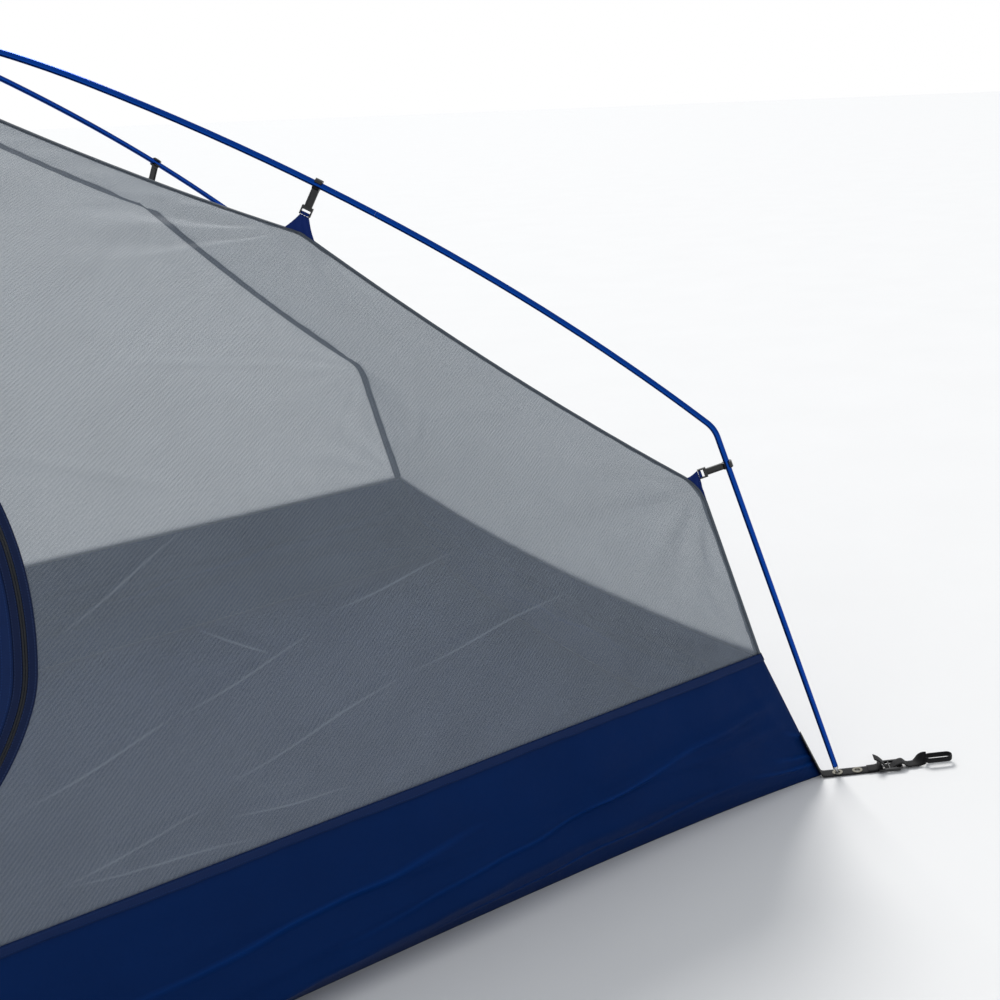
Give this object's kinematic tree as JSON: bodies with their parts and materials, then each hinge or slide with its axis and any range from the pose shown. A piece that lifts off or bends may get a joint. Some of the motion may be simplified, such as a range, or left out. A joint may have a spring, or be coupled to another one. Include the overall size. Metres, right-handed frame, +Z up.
{
  "type": "dome tent",
  "caption": "Freestanding dome tent inner: crossed elbowed poles clipped over a cloth and mesh canopy with a bathtub floor, zipped door and corner webbing.",
  "frame": {"origin": "middle of the floor, on the ground", "axes": "+X along the length of the floor, -Y the door side, +Z up"},
  "size_m": [2.5544, 1.609, 1.1642],
  "materials": {
    "pole_tube": "blue anodised",
    "ferrule": "satin",
    "shock_cord": "braided",
    "pole_tip": "satin",
    "floor_cloth": "coated weave",
    "wall_cloth": "coated weave",
    "binding": "stitched",
    "mesh": "fine open mesh",
    "canopy_cloth": "light ripstop",
    "ridge_tape": "woven tape",
    "door_cloth": "coated weave",
    "zip_coil": "coil",
    "zip_metal": "satin",
    "clip_plastic": "moulded",
    "buckle_plastic": "moulded",
    "tab_cloth": "coated weave",
    "pin_steel": "satin",
    "eyelet_metal": "nickel plated",
    "webbing": "woven webbing"
  },
  "bodies": {
    "tent": {"bathtub_floor": "floor_cloth", "bathtub_top_binding": "binding", "bathtub_wall_back": "wall_cloth", "bathtub_wall_front": "wall_cloth", "bathtub_wall_left": "wall_cloth", "bathtub_wall_right": "wall_cloth", "canopy_back_panel": "canopy_cloth", "canopy_front_mesh": "mesh", "canopy_left_panel": "canopy_cloth", "canopy_right_panel": "canopy_cloth", "clip_tabs": "tab_cloth", "corner_eyelets": "eyelet_metal", "corner_webbing": "webbing", "crown_clip": "clip_plastic", "crown_patch": "tab_cloth", "crown_pin": "pin_steel", "crown_tab": "tab_cloth", "pole_a_ferrules": "ferrule", "pole_a_section_1": "pole_tube", "pole_a_section_2": "pole_tube", "pole_a_section_3": "pole_tube", "pole_a_section_4": "pole_tube", "pole_a_section_5": "pole_tube", "pole_a_section_6": "pole_tube", "pole_a_section_7": "pole_tube", "pole_a_shock_cord": "shock_cord", "pole_a_tips": "pole_tip", "pole_b_ferrules": "ferrule", "pole_b_section_1": "pole_tube", "pole_b_section_2": "pole_tube", "pole_b_section_3": "pole_tube", "pole_b_section_4": "pole_tube", "pole_b_section_5": "pole_tube", "pole_b_section_6": "pole_tube", "pole_b_section_7": "pole_tube", "pole_b_shock_cord": "shock_cord", "pole_b_tips": "pole_tip", "pole_clips": "clip_plastic", "ridge_tapes": "ridge_tape", "zip_coil_frame": "zip_coil"},
    "door": {"door_panel": "door_cloth", "zip_coil_door": "zip_coil"},
    "tension_back_left": {"tension_buckle_back_left": "buckle_plastic", "tension_strap_back_left": "webbing"},
    "tension_back_right": {"tension_buckle_back_right": "buckle_plastic", "tension_strap_back_right": "webbing"},
    "tension_front_left": {"tension_buckle_front_left": "buckle_plastic", "tension_strap_front_left": "webbing"},
    "tension_front_right": {"tension_buckle_front_right": "buckle_plastic", "tension_strap_front_right": "webbing"},
    "foot_pull": {"zip_pull_foot": "zip_metal"},
    "side_pull": {"zip_pull_side": "zip_metal"},
    "foot_slider": {"zip_slider_foot": "zip_metal"},
    "side_slider": {"zip_slider_side": "zip_metal"}
  },
  "joints": [
    {"name": "door_swing", "type": "hinge", "parent": "tent", "child": "door", "pos_m": [-0.492, -0.652, 0.4], "axis": [0, 0, -1], "range_deg": [0, 100]},
    {"name": "foot_slider_run", "type": "slide", "parent": "door", "child": "foot_slider", "axis": [1, 0, 0], "range_m": [0, 0.26]},
    {"name": "foot_pull_flip", "type": "hinge", "parent": "foot_slider", "child": "foot_pull", "pos_m": [-0.44, -0.6416, 0.28007], "axis": [0, -0.1382, -0.9904], "range_deg": [0, 170]},
    {"name": "side_slider_run", "type": "hinge", "parent": "door", "child": "side_slider", "pos_m": [-0.18, -0.59244, 0.59631], "axis": [0, -0.9904, 0.1382], "range_deg": [0, 28]},
    {"name": "side_pull_flip", "type": "hinge", "parent": "side_slider", "child": "side_pull", "pos_m": [-0.02507, -0.63765, 0.30842], "axis": [-0.4695, 0.122, 0.8745], "range_deg": [0, 170]},
    {"name": "tension_lift_front_right", "type": "hinge", "parent": "tent", "child": "tension_front_right", "pos_m": [1.17836, -0.73915, 0.0044], "axis": [-0.5314, -0.8471, 0], "range_deg": [0, 50]},
    {"name": "tension_lift_back_right", "type": "hinge", "parent": "tent", "child": "tension_back_right", "pos_m": [1.17836, 0.73915, 0.0044], "axis": [0.5314, -0.8471, 0], "range_deg": [0, 50]},
    {"name": "tension_lift_back_left", "type": "hinge", "parent": "tent", "child": "tension_back_left", "pos_m": [-1.17836, 0.73915, 0.0044], "axis": [0.5314, 0.8471, 0], "range_deg": [0, 50]},
    {"name": "tension_lift_front_left", "type": "hinge", "parent": "tent", "child": "tension_front_left", "pos_m": [-1.17836, -0.73915, 0.0044], "axis": [-0.5314, 0.8471, 0], "range_deg": [0, 50]}
  ]
}
